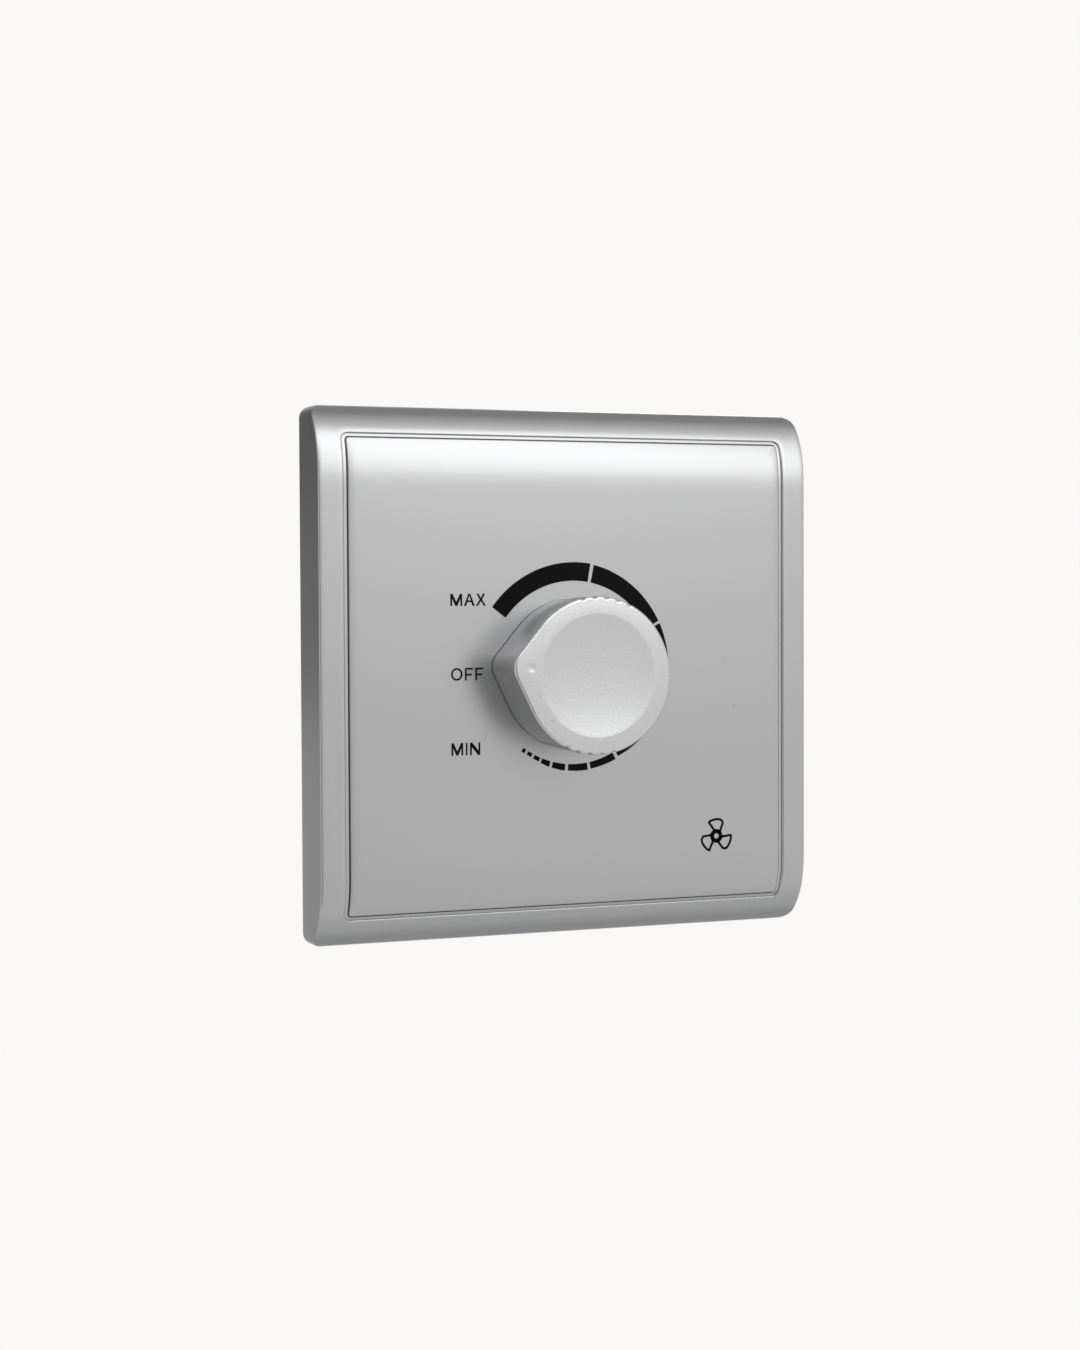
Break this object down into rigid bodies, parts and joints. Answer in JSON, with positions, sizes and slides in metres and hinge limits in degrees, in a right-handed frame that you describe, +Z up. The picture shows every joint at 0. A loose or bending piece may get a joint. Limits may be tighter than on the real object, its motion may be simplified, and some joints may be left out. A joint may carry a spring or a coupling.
{
  "type": "fan speed control switch",
  "caption": "Square silver wall plate with rolled top and bottom edges, an inset panel and a dished pointer knob that turns a fan off and sets its speed.",
  "frame": {"origin": "midway between the two fixing slots, in the plane of the wall", "axes": "+X right and +Z up as the plate hangs, +Y into the wall, so the knob faces -Y"},
  "size_m": [0.087, 0.0475, 0.087],
  "materials": {
    "silver_frame": "satin silver metallic paint",
    "silver_panel": "satin silver metallic paint",
    "silver_knob": "satin silver metallic paint",
    "white_plastic": "moulded",
    "grey_plastic": "moulded",
    "black_plastic": "moulded",
    "spring_steel": "bright rolled",
    "plain_steel": "zinc plated",
    "pressed_steel": "zinc plated",
    "contact_bronze": "bright rolled",
    "plated_brass": "nickel plated",
    "tinned_brass": "tin plated",
    "wafer_board": "paper laminate",
    "board": "glass laminate with solder resist",
    "ferrite": "sintered",
    "copper": "enamelled wire",
    "capacitor_case": "moulded",
    "aluminium_sheet": "mill finish",
    "chip_resistor": "glazed",
    "terminal_plastic": "moulded",
    "terminal_brass": "plain"
  },
  "bodies": {
    "body": {"surround_frame": "silver_frame", "front_panel": "silver_panel", "mounting_yoke": "white_plastic", "rear_housing": "grey_plastic", "pot_bush": "plated_brass", "bush_nut": "plated_brass", "track_wafer": "wafer_board", "pot_lugs": "tinned_brass", "pot_can": "pressed_steel", "switch_housing": "black_plastic", "switch_lugs": "tinned_brass", "circuit_board": "board", "choke_core": "ferrite", "choke_winding": "copper", "suppression_capacitor": "capacitor_case", "timing_capacitor": "capacitor_case", "heat_sink": "aluminium_sheet", "triac": "black_plastic", "triac_clip": "spring_steel", "thermal_fuse": "white_plastic", "resistors": "chip_resistor", "diac": "black_plastic", "terminal_body": "terminal_plastic", "terminal_clamps": "terminal_brass", "terminal_screws": "plain_steel"},
    "knob": {"control_knob": "silver_knob", "knob_spring": "spring_steel", "control_shaft": "plain_steel", "wiper_carrier": "black_plastic", "wiper_contact": "contact_bronze"}
  },
  "joints": [
    {"name": "knob_turn", "type": "hinge", "parent": "body", "child": "knob", "pos_m": [0, 0, 0], "axis": [0, 1, 0], "range_deg": [0, 300]}
  ]
}
